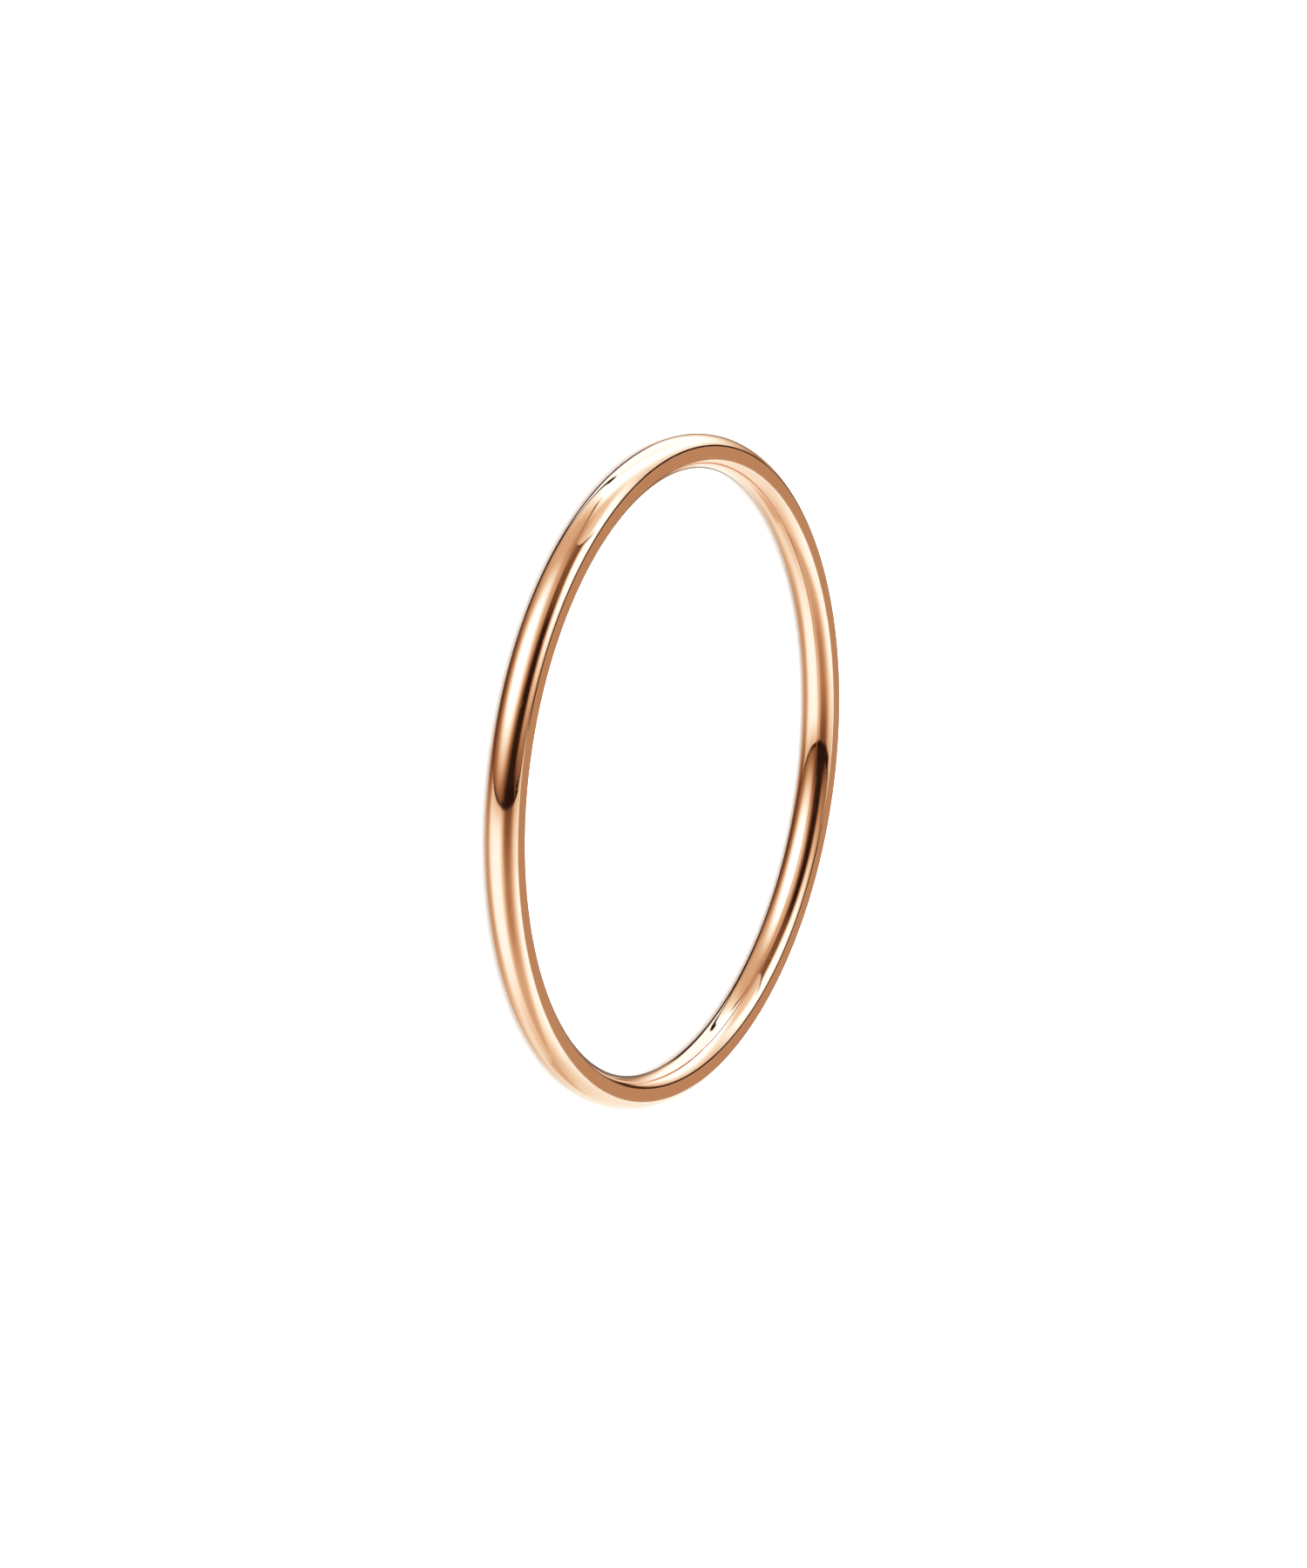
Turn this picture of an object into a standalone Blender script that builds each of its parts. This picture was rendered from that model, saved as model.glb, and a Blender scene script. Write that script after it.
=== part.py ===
"""Stackable finger ring of polished rose gold: one thin turned band.

The ring lies on its side, as it rests on a table. The finger hole runs along Z, the
lower side face lies at Z = 0, and the origin is the middle of the hole there. Across
the band, the section is a short flat side face between two crowns: the outer one is
what shows on the finger, and the inner one lets the ring slip over the knuckle.
All lengths are in metres.
"""

from math import atan2, cos, pi, sin, sqrt

import bpy

MM = 0.001

# Finger size: the width of the hole at its narrowest, on top of the inner crown.
HOLE_DIAMETER = 16.9 * MM

# Width of the band along the finger, from one side face to the other.
BAND_WIDTH = 1.0 * MM

# The band's thickness, from the finger outwards: crown, flat side face, crown.
INNER_CROWN = 0.28 * MM
SIDE_FACE = 0.38 * MM
OUTER_CROWN = 0.28 * MM

# The edges beside the side faces, polished over.
EDGE_RADIUS = 0.06 * MM

# How many straight steps stand for each round stretch.
STEPS_AROUND = 120
OUTER_CROWN_STEPS = 10
INNER_CROWN_STEPS = 8
EDGE_STEPS = 2

# Polished rose gold plating.
ROSE_GOLD = (0.86, 0.53, 0.37, 1.0)
ROSE_GOLD_ROUGHNESS = 0.08


def clear_scene():
    for item in list(bpy.data.objects):
        bpy.data.objects.remove(item, do_unlink=True)


def rose_gold():
    """The plating's material."""
    material = bpy.data.materials.new("rose_gold")
    material.use_nodes = True
    shader = material.node_tree.nodes["Principled BSDF"]
    shader.inputs["Base Color"].default_value = ROSE_GOLD
    shader.inputs["Metallic"].default_value = 1.0
    shader.inputs["Roughness"].default_value = ROSE_GOLD_ROUGHNESS
    material.diffuse_color = ROSE_GOLD
    return material


def arc(centre_radius, centre_height, arc_radius, start, end, steps, outward):
    """Points (radius, height) along an arc of the section, both ends included.

    Angles are measured from the radial direction: away from the hole's axis where
    outward is 1, and towards it where outward is -1.
    """
    points = []
    for step in range(steps + 1):
        angle = start + (end - start) * step / steps
        radius = centre_radius + outward * arc_radius * cos(angle)
        height = centre_height + arc_radius * sin(angle)
        points.append((radius, height))
    return points


def crown(foot_radius, rise, steps, outward):
    """One crown with its two eased edges, from the upper side face to the lower one.

    foot_radius is where the crown's arc would meet the side faces if the edges were
    sharp, and rise is the crown's height over that line.
    """
    half_width = BAND_WIDTH / 2
    crown_radius = (half_width ** 2 + rise ** 2) / (2 * rise)
    crown_centre = foot_radius + outward * (rise - crown_radius)
    # Each eased edge is an arc inside the crown's, touching it and the side face.
    edge_height = half_width - EDGE_RADIUS
    edge_reach = sqrt((crown_radius - EDGE_RADIUS) ** 2 - edge_height ** 2)
    edge_centre = crown_centre + outward * edge_reach
    meeting = atan2(edge_height, edge_reach)
    upper_edge = arc(
        edge_centre, half_width + edge_height, EDGE_RADIUS, pi / 2, meeting, EDGE_STEPS, outward
    )
    bow = arc(crown_centre, half_width, crown_radius, meeting, -meeting, steps, outward)
    lower_edge = arc(
        edge_centre, half_width - edge_height, EDGE_RADIUS, -meeting, -pi / 2, EDGE_STEPS, outward
    )
    return upper_edge + bow[1:-1] + lower_edge


def band_section():
    """The band's closed outline: down the outer crown, then up the inner one."""
    inner_foot = HOLE_DIAMETER / 2 + INNER_CROWN
    outer_foot = inner_foot + SIDE_FACE
    outer = crown(outer_foot, OUTER_CROWN, OUTER_CROWN_STEPS, 1)
    inner = crown(inner_foot, INNER_CROWN, INNER_CROWN_STEPS, -1)
    return outer + inner[::-1]


def turned(name, section, steps, material, collection):
    """A closed section turned once about Z, as one object."""
    mesh = bpy.data.meshes.new(name)
    corners = [(radius, 0.0, height) for radius, height in section]
    edges = [(index, (index + 1) % len(section)) for index in range(len(section))]
    mesh.from_pydata(corners, edges, [])
    mesh.materials.append(material)
    part = bpy.data.objects.new(name, mesh)
    collection.objects.link(part)
    screw = part.modifiers.new("turn", "SCREW")
    screw.axis = "Z"
    screw.angle = 2 * pi
    screw.steps = steps
    screw.render_steps = steps
    screw.use_smooth_shade = True
    # Large flat faces keep their own normals beside the narrow eased edges.
    normals = part.modifiers.new("flat_side_faces", "WEIGHTED_NORMAL")
    normals.mode = "FACE_AREA"
    return part


def main():
    clear_scene()
    ring = bpy.data.collections.new("stackable_ring")
    bpy.context.scene.collection.children.link(ring)
    turned("ring_band", band_section(), STEPS_AROUND, rose_gold(), ring)


main()
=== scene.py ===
"""Looks of the stackable ring: a thin polished rose gold band that lies on a white table top."""

from math import atan2, cos, pi, radians, sin, sqrt

import bpy
from mathutils import Matrix, Vector


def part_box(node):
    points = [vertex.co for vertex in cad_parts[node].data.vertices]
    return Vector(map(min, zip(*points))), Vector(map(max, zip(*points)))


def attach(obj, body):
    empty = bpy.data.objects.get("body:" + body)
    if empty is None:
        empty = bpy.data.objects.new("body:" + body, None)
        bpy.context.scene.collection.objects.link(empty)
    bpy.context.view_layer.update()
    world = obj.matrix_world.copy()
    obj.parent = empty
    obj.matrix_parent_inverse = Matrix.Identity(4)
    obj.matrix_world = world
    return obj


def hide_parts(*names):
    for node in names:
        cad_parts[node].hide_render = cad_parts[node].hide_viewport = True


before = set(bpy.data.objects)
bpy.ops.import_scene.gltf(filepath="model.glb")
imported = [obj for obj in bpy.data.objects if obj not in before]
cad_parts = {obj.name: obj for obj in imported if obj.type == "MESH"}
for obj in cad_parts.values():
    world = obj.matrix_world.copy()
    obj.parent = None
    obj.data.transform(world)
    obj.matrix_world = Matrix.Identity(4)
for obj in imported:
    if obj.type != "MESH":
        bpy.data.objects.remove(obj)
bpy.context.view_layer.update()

# The band
# The ring is one turned band of stainless steel, plated with rose gold. Its section has
# a low crown outside and another inside, with a narrow flat side face at each end, and
# it is tumbled and then buffed on a wheel until it mirrors.

MM = 0.001
band_low, band_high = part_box("ring_band")
BAND_WIDTH = band_high.z - band_low.z
OUTER_RADIUS = band_high.x
# How far each crown rises above its foot, and the flat face between the two feet.
CROWN = 0.28 * MM
SIDE_FACE = 0.38 * MM
# Buffing has rounded the corners further than the 0.06 mm that they are turned to.
EDGE_RADIUS = 0.12 * MM

# Fine enough that a mirrored line stays smooth from 50 mm away.
STEPS_AROUND = 720
CROWN_STEPS = 36
EDGE_STEPS = 6
SIDE_STEPS = 6

# How rubbed the surface is on its faces and on its eased edges.
FACE_WEAR = 0.0
EDGE_WEAR = 1.0


def arc_with_lean(centre_radius, centre_height, arc_radius, start, end, steps, wear):
    """Points of an arc: radius, height, lean of the surface there, and how rubbed it is."""
    points = []
    for step in range(steps + 1):
        lean = start + (end - start) * step / steps
        radius = centre_radius + arc_radius * cos(lean)
        height = centre_height + arc_radius * sin(lean)
        points.append((radius, height, lean, wear))
    return points


def outer_crown(foot_radius):
    """A crown and the eased edge on each side of it, from the upper side face down."""
    half_width = BAND_WIDTH / 2
    crown_radius = (half_width ** 2 + CROWN ** 2) / (2 * CROWN)
    crown_centre = foot_radius + CROWN - crown_radius
    edge_height = half_width - EDGE_RADIUS
    edge_reach = sqrt((crown_radius - EDGE_RADIUS) ** 2 - edge_height ** 2)
    edge_centre = crown_centre + edge_reach
    meeting = atan2(edge_height, edge_reach)
    middle = band_low.z + half_width
    upper = arc_with_lean(
        edge_centre, middle + edge_height, EDGE_RADIUS, pi / 2, meeting, EDGE_STEPS, EDGE_WEAR
    )
    bow = arc_with_lean(
        crown_centre, middle, crown_radius, meeting, -meeting, CROWN_STEPS, FACE_WEAR
    )
    lower = arc_with_lean(
        edge_centre, middle - edge_height, EDGE_RADIUS, -meeting, -pi / 2, EDGE_STEPS, EDGE_WEAR
    )
    return upper + bow[1:-1] + lower


def inner_crown(foot_radius):
    """The outer crown's mirror image, from the lower side face up."""
    mirrored = outer_crown(0.0)[::-1]
    return [(foot_radius - radius, height, pi - lean, wear) for radius, height, lean, wear in mirrored]


def side_face(start, end):
    """The flat side face between two eased edges."""
    points = []
    for step in range(1, SIDE_STEPS):
        radius = start[0] + (end[0] - start[0]) * step / SIDE_STEPS
        points.append((radius, start[1], start[2], FACE_WEAR))
    return points


def ring_mesh(name):
    """The band as a fine closed mesh, with the exact surface direction at every corner."""
    outer = outer_crown(OUTER_RADIUS - CROWN)
    inner = inner_crown(OUTER_RADIUS - CROWN - SIDE_FACE)
    section = outer + side_face(outer[-1], inner[0]) + inner + side_face(inner[-1], outer[0])
    corners, directions, faces, wear = [], [], [], []
    for step in range(STEPS_AROUND):
        turn = 2 * pi * step / STEPS_AROUND
        for radius, height, lean, rubbed in section:
            corners.append((radius * cos(turn), radius * sin(turn), height))
            directions.append((cos(lean) * cos(turn), cos(lean) * sin(turn), sin(lean)))
            wear.append(rubbed)
        here = step * len(section)
        ahead = (step + 1) % STEPS_AROUND * len(section)
        for index in range(len(section)):
            following = (index + 1) % len(section)
            faces.append((here + index, here + following, ahead + following, ahead + index))
    mesh = bpy.data.meshes.new(name)
    mesh.from_pydata(corners, [], faces)
    mesh.shade_smooth()
    mesh.normals_split_custom_set_from_vertices(directions)
    mesh.attributes.new("wear", "FLOAT", "POINT").data.foreach_set("value", wear)
    return mesh


def linear(hex_colour):
    """An sRGB hex colour as the linear values that a shader takes."""
    values = []
    for start in (1, 3, 5):
        value = int(hex_colour[start:start + 2], 16) / 255
        values.append(value / 12.92 if value <= 0.04045 else ((value + 0.055) / 1.055) ** 2.4)
    return (*values, 1.0)


def add_node(tree, kind, settings, inputs):
    """Adds a node: settings are its properties, inputs are values or sockets to link from."""
    made = tree.nodes.new(kind)
    for name, value in settings.items():
        setattr(made, name, value)
    for name, value in inputs.items():
        if isinstance(value, bpy.types.NodeSocket):
            tree.links.new(value, made.inputs[name])
        else:
            made.inputs[name].default_value = value
    return made


def lines_round_the_band(tree, place, spacing, length):
    """Noise drawn out into lines that run round the band, with a spacing and a length.

    It is read in four dimensions: two go round the band, one outwards and one up.
    """
    parts = add_node(tree, "ShaderNodeSeparateXYZ", {}, {"Vector": place}).outputs
    level = add_node(tree, "ShaderNodeCombineXYZ", {}, {"X": parts["X"], "Y": parts["Y"]}).outputs[0]
    radius = add_node(tree, "ShaderNodeVectorMath", {"operation": "LENGTH"}, {0: level})
    towards = add_node(tree, "ShaderNodeVectorMath", {"operation": "NORMALIZE"}, {0: level})
    around = add_node(
        tree, "ShaderNodeVectorMath", {"operation": "SCALE"},
        {0: towards.outputs["Vector"], "Scale": OUTER_RADIUS / length},
    )
    around = add_node(tree, "ShaderNodeSeparateXYZ", {}, {0: around.outputs["Vector"]}).outputs
    outwards = add_node(
        tree, "ShaderNodeMath", {"operation": "DIVIDE"}, {0: radius.outputs["Value"], 1: spacing}
    ).outputs[0]
    upwards = add_node(
        tree, "ShaderNodeMath", {"operation": "DIVIDE"}, {0: parts["Z"], 1: spacing}
    ).outputs[0]
    section = add_node(
        tree, "ShaderNodeCombineXYZ", {}, {"X": around["X"], "Y": around["Y"], "Z": outwards}
    ).outputs[0]
    return add_node(
        tree, "ShaderNodeTexNoise", {"noise_dimensions": "4D"},
        {"Vector": section, "W": upwards, "Scale": 1.0, "Detail": 2.0},
    ).outputs["Fac"]


# The levels of the noise where a scratch starts and where it is full: higher, and fewer show.
SCRATCH_STARTS = 0.68
SCRATCH_FULL = 0.76


def scratches(tree, place, axis, slant, width, length):
    """Sparse fine scratches that cross the band at a slant: 1 in a scratch, 0 on the polish."""
    slanted = add_node(
        tree, "ShaderNodeVectorRotate", {"rotation_type": axis}, {"Vector": place, "Angle": slant}
    ).outputs["Vector"]
    grain = lines_round_the_band(tree, slanted, width, length)
    return add_node(
        tree, "ShaderNodeMapRange", {"interpolation_type": "SMOOTHSTEP"},
        {"Value": grain, "From Min": SCRATCH_STARTS, "From Max": SCRATCH_FULL},
    ).outputs["Result"]


# How wide, long and deep the marks of plating, buffing and wear are.
COLOUR_CLOUD = 3 * MM
RUBBED_PATCH = 0.5 * MM
WAVER = 2.5 * MM
WAVER_DEPTH = 0.014 * MM
WHEEL_FLAT = 0.2 * MM
WHEEL_FLAT_LENGTH = 4 * MM
WHEEL_FLAT_DEPTH = 0.0006 * MM
# Real hairlines are 0.01 mm apart and real scratches half as wide, too fine to show.
HAIRLINE = 0.04 * MM
HAIRLINE_LENGTH = 6 * MM
HAIRLINE_DEPTH = 0.00015 * MM
SCRATCH = 0.03 * MM
LONG_SCRATCH = 1.6 * MM
SHORT_SCRATCH = 1.1 * MM
SCRATCH_DEPTH = 0.0006 * MM

# How far an eased edge is rubbed where it is handled least and most.
LEAST_RUBBED = 0.1
MOST_RUBBED = 0.7

# Roughness of the polish at its best and at its dullest, and what wear adds to it.
BEST_POLISH = 0.03
DULLEST_POLISH = 0.07
RUBBED_EDGE_ADDS = 0.06
SCRATCH_ADDS = 0.12


def rose_gold_plating_buffed():
    """Rose gold plating, wheel buffed.

    It gives the eye a warm copper mirror: crisp reflections that waver a little along the
    band, hairlines from the wheel, a few fine scratches, and edges rubbed paler and duller.
    """
    material = bpy.data.materials.new("rose_gold_plating_buffed")
    material.use_nodes = True
    tree = material.node_tree
    shader = tree.nodes["Principled BSDF"]
    shader.inputs["Metallic"].default_value = 1.0

    place = add_node(tree, "ShaderNodeTexCoord", {}, {}).outputs["Object"]
    wear = add_node(tree, "ShaderNodeAttribute", {"attribute_name": "wear"}, {}).outputs["Fac"]

    # The plating's colour drifts a little along the band.
    clouds = add_node(
        tree, "ShaderNodeTexNoise", {}, {"Vector": place, "Scale": 1 / COLOUR_CLOUD, "Detail": 3.0}
    ).outputs["Fac"]
    plating = add_node(
        tree, "ShaderNodeMix", {"data_type": "RGBA"},
        {"Factor": clouds, "A": linear("#EBBA9D"), "B": linear("#F1C6AB")},
    ).outputs["Result"]

    # The eased edges are rubbed paler in patches.
    patches = add_node(
        tree, "ShaderNodeTexNoise", {}, {"Vector": place, "Scale": 1 / RUBBED_PATCH, "Detail": 4.0}
    ).outputs["Fac"]
    rubbed = add_node(
        tree, "ShaderNodeMapRange", {},
        {
            "Value": patches, "From Min": 0.35, "From Max": 0.65,
            "To Min": LEAST_RUBBED, "To Max": MOST_RUBBED,
        },
    ).outputs["Result"]
    rubbed = add_node(
        tree, "ShaderNodeMath", {"operation": "MULTIPLY"}, {0: rubbed, 1: wear}
    ).outputs[0]
    plating = add_node(
        tree, "ShaderNodeMix", {"data_type": "RGBA"},
        {"Factor": rubbed, "A": plating, "B": linear("#EFD0BC")},
    ).outputs["Result"]
    tree.links.new(plating, shader.inputs["Base Color"])

    # Two sets of scratches cross at a slant.
    handled = add_node(
        tree, "ShaderNodeMath", {"operation": "MAXIMUM"},
        {
            0: scratches(tree, place, "X_AXIS", radians(9), SCRATCH, LONG_SCRATCH),
            1: scratches(tree, place, "Y_AXIS", radians(-14), SCRATCH, SHORT_SCRATCH),
        },
    ).outputs[0]

    # Buffing leaves the mirror a shade duller here and there, on edges and in scratches.
    dull = add_node(
        tree, "ShaderNodeMapRange", {},
        {
            "Value": patches, "From Min": 0.3, "From Max": 0.7,
            "To Min": BEST_POLISH, "To Max": DULLEST_POLISH,
        },
    ).outputs["Result"]
    for duller, amount in ((rubbed, RUBBED_EDGE_ADDS), (handled, SCRATCH_ADDS)):
        dull = add_node(
            tree, "ShaderNodeMath", {"operation": "MULTIPLY_ADD"}, {0: duller, 1: amount, 2: dull}
        ).outputs[0]
    tree.links.new(dull, shader.inputs["Roughness"])

    # Relief, widest first, each with its depth: a slow waver, the flats and the hairlines
    # that the wheel leaves, and the scratches, which are cut in.
    waver = add_node(
        tree, "ShaderNodeTexNoise", {}, {"Vector": place, "Scale": 1 / WAVER, "Detail": 1.0}
    ).outputs["Fac"]
    flats = lines_round_the_band(tree, place, WHEEL_FLAT, WHEEL_FLAT_LENGTH)
    hairlines = lines_round_the_band(tree, place, HAIRLINE, HAIRLINE_LENGTH)
    relief = None
    for height, depth in (
        (waver, WAVER_DEPTH),
        (flats, WHEEL_FLAT_DEPTH),
        (hairlines, HAIRLINE_DEPTH),
        (handled, -SCRATCH_DEPTH),
    ):
        inputs = {"Strength": 1.0, "Distance": abs(depth), "Height": height}
        if relief is not None:
            inputs["Normal"] = relief
        relief = add_node(tree, "ShaderNodeBump", {"invert": depth < 0}, inputs).outputs["Normal"]
    tree.links.new(relief, shader.inputs["Normal"])
    return material


band = bpy.data.objects.new("polished_band", ring_mesh("polished_band"))
bpy.context.scene.collection.objects.link(band)
band.data.materials.append(rose_gold_plating_buffed())
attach(band, "root")
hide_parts("ring_band")

# The camera
# The photograph looks at the ring's upper side face from 28 degrees above its plane,
# turned so that the ring stands tall in the picture, from about 145 mm away.

# Fitted to the ring's outline in the photograph.
CAMERA_ELEVATION = radians(27.96)
CAMERA_ROLL = radians(-8.155)
CAMERA_DISTANCE = 145.34 * MM
# The size of the photograph and the length of its lens, in its own pixels.
PHOTO_WIDTH = 1500
PHOTO_HEIGHT = 1800
FOCAL_PIXELS = 6055
# In millimetres, which is what Blender's lenses are given in.
SENSOR = 36.0
# Where the middle of the upper side face lies in the photograph.
RING_AT_PIXEL = (788.6, 890.1)

tilt = pi / 2 - CAMERA_ELEVATION
picture_right = Vector((sin(CAMERA_ROLL), cos(CAMERA_ROLL) * cos(tilt), cos(CAMERA_ROLL) * sin(tilt)))
picture_up = Vector((-cos(CAMERA_ROLL), sin(CAMERA_ROLL) * cos(tilt), sin(CAMERA_ROLL) * sin(tilt)))
picture_back = Vector((0.0, -sin(tilt), cos(tilt)))

lens = bpy.data.cameras.new("camera")
lens.sensor_width = SENSOR
lens.lens = FOCAL_PIXELS * SENSOR / PHOTO_HEIGHT
lens.clip_start = 10 * MM
lens.clip_end = 10.0
camera = bpy.data.objects.new("camera", lens)
bpy.context.scene.collection.objects.link(camera)
bpy.context.scene.camera = camera

face_middle = Vector((0.0, 0.0, band_high.z))
camera.location = face_middle + picture_back * CAMERA_DISTANCE
pixel = CAMERA_DISTANCE / FOCAL_PIXELS
aim = (
    face_middle
    - picture_right * (RING_AT_PIXEL[0] - PHOTO_WIDTH / 2) * pixel
    + picture_up * (RING_AT_PIXEL[1] - PHOTO_HEIGHT / 2) * pixel
)
back = (camera.location - aim).normalized()
right = picture_up.cross(back).normalized()
up = back.cross(right)
camera.matrix_world = Matrix((
    (right.x, up.x, back.x, camera.location.x),
    (right.y, up.y, back.y, camera.location.y),
    (right.z, up.z, back.z, camera.location.z),
    (0.0, 0.0, 0.0, 1.0),
))

# The table top
# The ring lies on a sheet of plain matt white card, large enough to fill the picture.
# The card has no gloss, and the band doesn't mirror it: it mirrors the studio below.

TABLE_TOP_SIDE = 3000 * MM


def white_card_uncoated():
    """Uncoated white card: plain and fully matt, so the eye sees only the band's soft shade."""
    material = bpy.data.materials.new("white_card_uncoated")
    material.use_nodes = True
    shader = material.node_tree.nodes["Principled BSDF"]
    shader.inputs["Base Color"].default_value = linear("#F8F8F8")
    shader.inputs["Roughness"].default_value = 1.0
    shader.inputs["Specular IOR Level"].default_value = 0.0
    return material


half_side = TABLE_TOP_SIDE / 2
card = bpy.data.meshes.new("table_top")
card_corners = [
    (-half_side, -half_side, 0.0),
    (half_side, -half_side, 0.0),
    (half_side, half_side, 0.0),
    (-half_side, half_side, 0.0),
]
card.from_pydata(card_corners, [], [(0, 1, 2, 3)])
card.materials.append(white_card_uncoated())
table_top = bpy.data.objects.new("table_top", card)
bpy.context.scene.collection.objects.link(table_top)
table_top.location.z = band_low.z
table_top.visible_glossy = False

# The studio
# What the polished band mirrors: a room of pale walls with a softbox on the left, one on
# the right and one high behind, and a cream counter below its horizon. It is painted on
# the sky, and only mirrored rays see it.

ROOM_TILT = radians(16.4)
room_right = picture_right
room_up = picture_up * cos(ROOM_TILT) + picture_back * sin(ROOM_TILT)
room_front = picture_back * cos(ROOM_TILT) - picture_up * sin(ROOM_TILT)

world = bpy.data.worlds.new("studio")
bpy.context.scene.world = world
world.use_nodes = True
studio = world.node_tree
studio.nodes.clear()

ray = add_node(studio, "ShaderNodeTexCoord", {}, {}).outputs["Generated"]
ray_right, ray_front, ray_up = (
    add_node(
        studio, "ShaderNodeVectorMath", {"operation": "DOT_PRODUCT"}, {0: ray, 1: axis}
    ).outputs["Value"]
    for axis in (room_right, room_front, room_up)
)
# Degrees round the room, 0 towards the viewer and growing to the right, and degrees up.
azimuth, elevation = (
    add_node(
        studio, "ShaderNodeMath", {"operation": "DEGREES"}, {0: angle.outputs[0]}
    ).outputs[0]
    for angle in (
        add_node(
            studio, "ShaderNodeMath", {"operation": "ARCTAN2"}, {0: ray_right, 1: ray_front}
        ),
        add_node(studio, "ShaderNodeMath", {"operation": "ARCSINE"}, {0: ray_up}),
    )
)


def within(place, outline):
    """1 inside a soft outline and 0 outside.

    It grows from the outline's first value to its second and, where the outline has four,
    fades again from the third to the fourth.
    """
    sides = [(outline[0], outline[1])]
    if len(outline) == 4:
        sides.append((outline[3], outline[2]))
    share = 1.0
    for gone, full in sides:
        fade = add_node(
            studio, "ShaderNodeMapRange", {"interpolation_type": "SMOOTHSTEP"},
            {"Value": place, "From Min": gone, "From Max": full},
        ).outputs["Result"]
        share = add_node(
            studio, "ShaderNodeMath", {"operation": "MULTIPLY"}, {0: share, 1: fade}
        ).outputs[0]
    return share


def round_from(middle, lean):
    """Degrees round the room from a middle, -180 to 180, for a thing that leans to the right."""
    upright = add_node(
        studio, "ShaderNodeMath", {"operation": "MULTIPLY_ADD"},
        {0: elevation, 1: -lean, 2: azimuth},
    ).outputs[0]
    away = add_node(
        studio, "ShaderNodeMath", {"operation": "SUBTRACT"}, {0: upright, 1: middle}
    ).outputs[0]
    return add_node(
        studio, "ShaderNodeMath", {"operation": "WRAP"}, {0: away, 1: 180.0, 2: -180.0}
    ).outputs[0]


def panel(across=None, up=None, lean=0.0):
    """A panel with soft sides, given round the room and up; lean is degrees right per degree up."""
    share = 1.0
    if across is not None:
        middle = (across[1] + across[2]) / 2
        share = within(round_from(middle, lean), [corner - middle for corner in across])
    if up is not None:
        share = add_node(
            studio, "ShaderNodeMath", {"operation": "MULTIPLY"}, {0: share, 1: within(elevation, up)}
        ).outputs[0]
    return share


def place_in(middle, half_size):
    """Where a direction lies in a shape whose own edge is 1 away from its middle."""
    across = add_node(
        studio, "ShaderNodeMath", {"operation": "DIVIDE"},
        {0: round_from(middle[0], 0.0), 1: half_size[0]},
    ).outputs[0]
    up = add_node(
        studio, "ShaderNodeMath", {"operation": "MULTIPLY_ADD"},
        {0: elevation, 1: 1 / half_size[1], 2: -middle[1] / half_size[1]},
    ).outputs[0]
    return add_node(studio, "ShaderNodeCombineXYZ", {}, {"X": across, "Y": up}).outputs[0]


def oval(middle, half_size, fade):
    """An oval; fade is the share of its half size over which its edge is soft."""
    reach = add_node(
        studio, "ShaderNodeVectorMath", {"operation": "LENGTH"}, {0: place_in(middle, half_size)}
    ).outputs["Value"]
    return within(reach, (1 + fade, 1 - fade))


def diamond(middle, half_size, fade):
    """A shape with four points, soft as an oval is."""
    place = add_node(
        studio, "ShaderNodeVectorMath", {"operation": "ABSOLUTE"}, {0: place_in(middle, half_size)}
    ).outputs["Vector"]
    reach = add_node(
        studio, "ShaderNodeVectorMath", {"operation": "DOT_PRODUCT"}, {0: place, 1: (1, 1, 0)}
    ).outputs["Value"]
    return within(reach, (1 + fade, 1 - fade))


def painted(light, things):
    """The brightness of a part of the room once its things are painted over it in turn."""
    for name, brightness, share in things:
        light = add_node(
            studio, "ShaderNodeMix", {"label": name}, {"Factor": share, "A": light, "B": brightness}
        ).outputs["Result"]
    return light


SHADED_WALL = 0.10
walls = painted(SHADED_WALL, [
    ("upper walls", 0.70, panel(up=(-12, 40))),
    ("left softbox", 2.10, oval((-66, 42), (39, 27), 0.55)),
    ("dark corner on the left", 0.05, panel((-172, -152, -136, -96), (27, 2))),
    ("dark gap", 0.014, panel((-54, -14, 7, 25), (104, 76), lean=0.65)),
    ("foot of the gap", 0.010, panel((-34, -8, 18, 44), (14, 2))),
    ("brown curtain", 0.13, panel((16, 32, 92, 108), (46, 58, 78, 106))),
    ("right wall", 1.00, panel((119.8, 122.2, 218, 238), (-6, 34), lean=-0.8)),
    ("right softbox", 2.00, panel((18, 38, 70, 100), (9, 35, 46, 62), lean=0.6)),
    ("back softbox", 2.30, oval((165, 44), (40, 32), 0.45)),
    ("ceiling", 0.36, panel(up=(65, 95))),
    ("edge of the right wall", 0.05, panel((117, 119.5, 120.5, 121.5), (40, 50, 78, 94), lean=-0.8)),
    ("white door behind", 1.80, oval((-186, 14), (31, 41), 0.05)),
    ("shade at its foot", 0.28, panel((116, 150, 194, 203), (22, 0))),
    ("leaning post", 0.008, panel((-148.2, -146.8, -143.2, -141.8), (4, 14, 43, 46), lean=-0.5)),
    ("seam over the door", 0.22, panel((-180, -171, -165, -157), (62, 68, 84, 88))),
    ("line along the counter", 0.015, panel((-140, -80, 38, 58), (2.4, 0))),
])
COUNTER = 1.35
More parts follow.
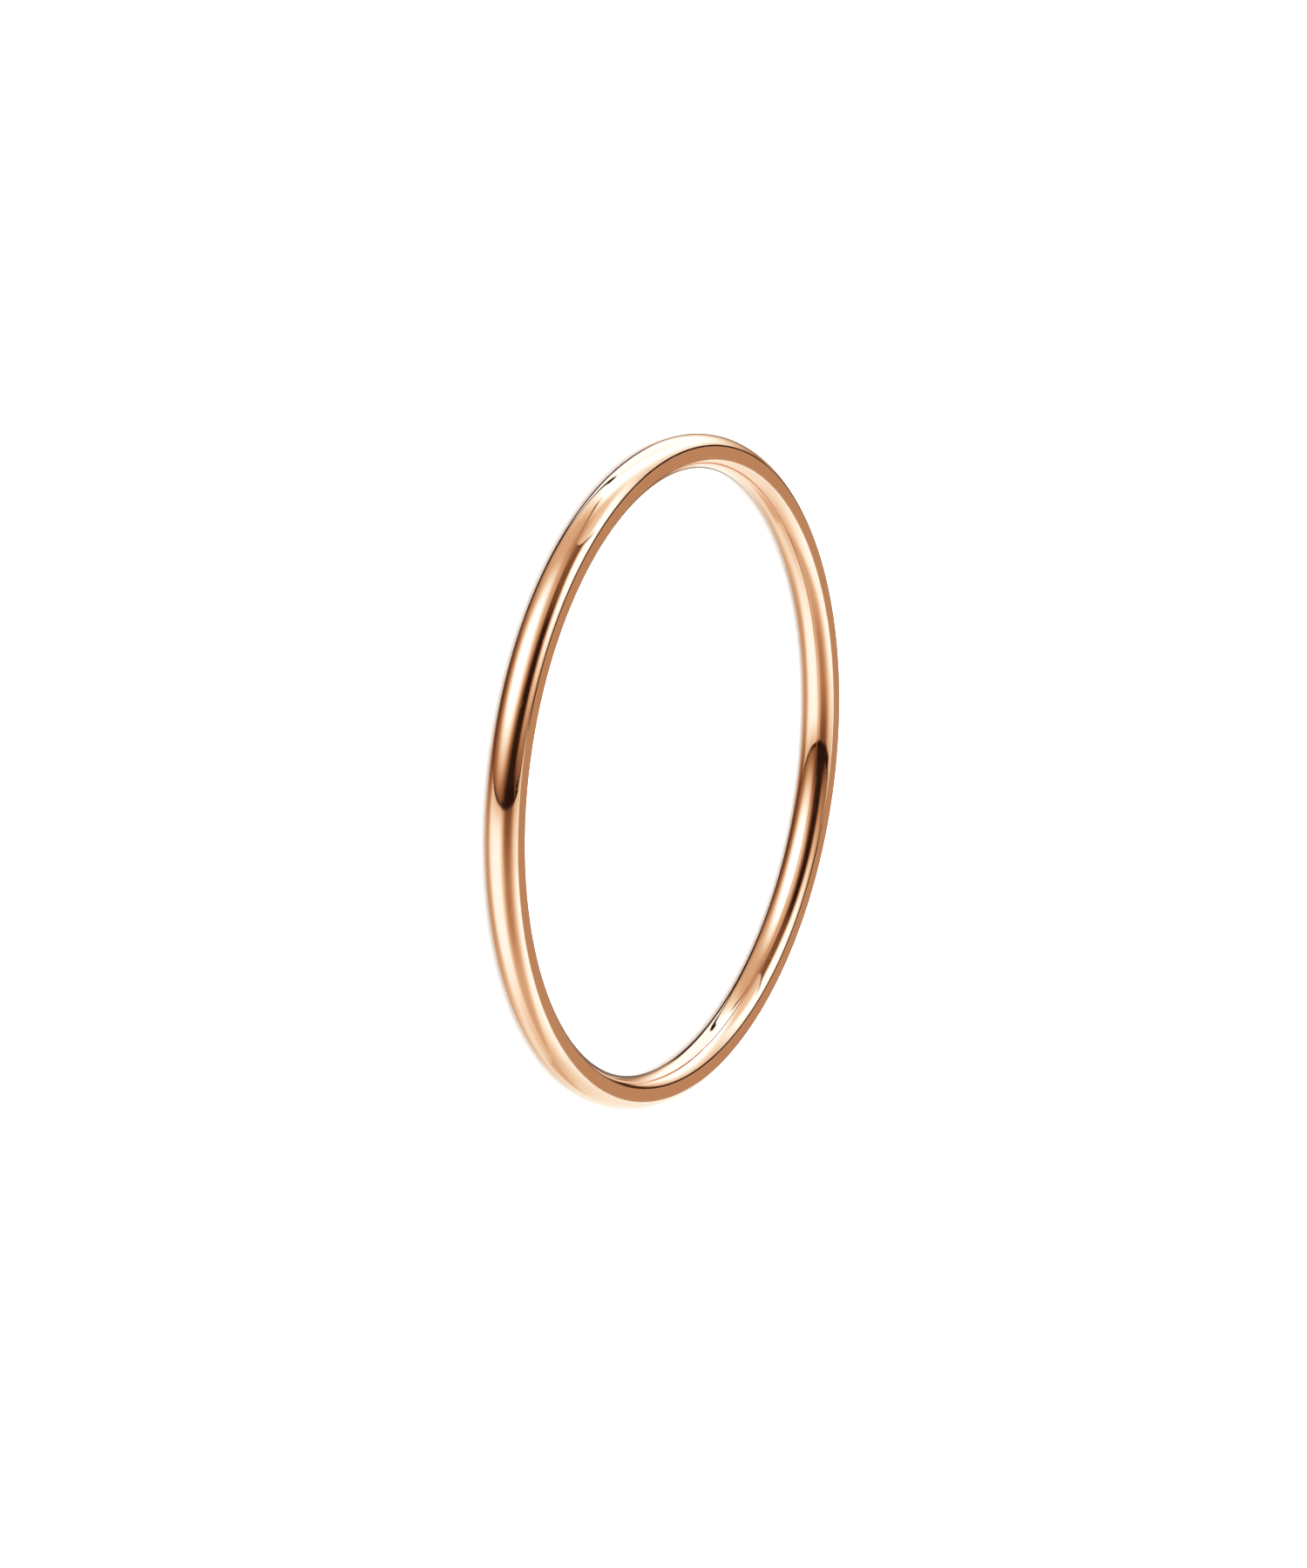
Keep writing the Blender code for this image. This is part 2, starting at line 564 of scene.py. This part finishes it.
counter = painted(COUNTER, [
    ("near side", 0.80, panel(up=(-54, -90))),
    ("cream pool on the left", 1.75, panel((-124, -64, -48, -8), (-70, -42))),
    ("cream pool on the right", 1.72, panel((24, 52, 74, 106), (-72, -44, -26, 2))),
    ("beside the copper stripe", 1.05, panel((26, 50, 94, 126), (-26, 2))),
    ("far side", 0.50, panel(up=(-12, 6))),
    ("far end of the stripe", 0.68, panel((-200, -178, -150, -128), (-54, -72))),
    ("copper stripe", 0.33, panel((-44, -4, 4, 50), (-90, -36))),
    ("top of the stripe", 0.12, panel((-28, -4, 8, 40), (-26, -1))),
    ("foot of the stripe", 0.64, panel((-44, -4, 12, 55), (-24, -68))),
    ("dim left side", 0.50, panel((-182, -152, -120, -84), (-66, -26))),
    ("dark left corner", 0.07, panel((-172, -152, -120, -94), (-16, -1))),
])
light = painted(counter, [
    ("walls above the horizon", walls, within(elevation, (-0.7, 0.1))),
    ("shadow at the foot of the gap", 0.010, oval((0, 0.2), (40, 1.7), 0.25)),
    ("right end of the shadow", 0.010, panel((2, 24, 41, 48), (-3, -2, 0, 3))),
    ("black foot of the left corner", 0.01, panel((-178, -172, -152, -138), (-12, -5, 7, 15))),
    ("dark screen", 0.02, diamond((113, 2), (42, 21), 0.12)),
    ("foot of the screen", 0.04, oval((142, -4), (13, 6), 0.2)),
    ("brown wall beside it", 0.12, oval((146, -16), (38, 15), 0.3)),
    ("copper sheet under the screen", 0.405, oval((121, -15.5), (13, 9), 0.2)),
])

# Dim parts of the room are warm and bright ones are white, as unlit card and lamps are:
# green is the brightness, red runs ahead of it where it is dim, and blue stays behind.
RED_LEAD = 2.1
RED_SLOWING = 1.15
BLUE_IN_THE_DIM = 0.45
BLUE_RISE = 0.42
BLUE_OF_BLACK = 0.002
red = add_node(
    studio, "ShaderNodeMath", {"operation": "MULTIPLY"}, {0: light, 1: RED_LEAD}
).outputs[0]
red_limit = add_node(
    studio, "ShaderNodeMath", {"operation": "MULTIPLY_ADD"}, {0: light, 1: RED_SLOWING, 2: 1.0}
).outputs[0]
red = add_node(
    studio, "ShaderNodeMath", {"operation": "DIVIDE"}, {0: red, 1: red_limit}
).outputs[0]
blue = add_node(
    studio, "ShaderNodeMath", {"operation": "MULTIPLY_ADD"},
    {0: light, 1: BLUE_RISE, 2: BLUE_IN_THE_DIM},
).outputs[0]
blue = add_node(
    studio, "ShaderNodeMath", {"operation": "MULTIPLY_ADD"},
    {0: blue, 1: light, 2: BLUE_OF_BLACK},
).outputs[0]
warm = add_node(studio, "ShaderNodeCombineColor", {}, {"Red": red, "Green": light, "Blue": blue})
# The far end, which the band mirrors only along its outline, is in plain grey shade.
colour = add_node(
    studio, "ShaderNodeMix", {"data_type": "RGBA"},
    {"Factor": oval((-184, -13), (14, 14), 0.3), "A": warm.outputs[0], "B": linear("#7A7874")},
).outputs["Result"]
mirrored = add_node(studio, "ShaderNodeBackground", {}, {"Color": colour, "Strength": 1.0})

# The card, and the open view past its edge, get plain white light from all round instead.
WHITE_ALL_ROUND = 2.0
plain = add_node(
    studio, "ShaderNodeBackground", {},
    {"Color": linear("#FFFFFF"), "Strength": WHITE_ALL_ROUND},
)
kind_of_ray = add_node(studio, "ShaderNodeLightPath", {}, {})
seen = add_node(
    studio, "ShaderNodeMixShader", {},
    {0: kind_of_ray.outputs["Is Glossy Ray"], 1: plain.outputs[0], 2: mirrored.outputs[0]},
)
add_node(studio, "ShaderNodeOutputWorld", {}, {"Surface": seen.outputs[0]})

# The lamp
# One large softbox above the table gives the soft contact shadow. The band doesn't
# mirror it, because the studio above already holds the lamps that it mirrors.

LAMP_SIDE = 600 * MM
LAMP_HEIGHT = 600 * MM
LAMP_WATTS = 1.6

lamp_data = bpy.data.lights.new("overhead_softbox", "AREA")
lamp_data.shape = "SQUARE"
lamp_data.size = LAMP_SIDE
lamp_data.energy = LAMP_WATTS
lamp = bpy.data.objects.new("overhead_softbox", lamp_data)
bpy.context.scene.collection.objects.link(lamp)
lamp.location = (0.0, 0.0, LAMP_HEIGHT)
lamp.visible_glossy = False

# White card stays white in the picture.
bpy.context.scene.view_settings.view_transform = "Standard"
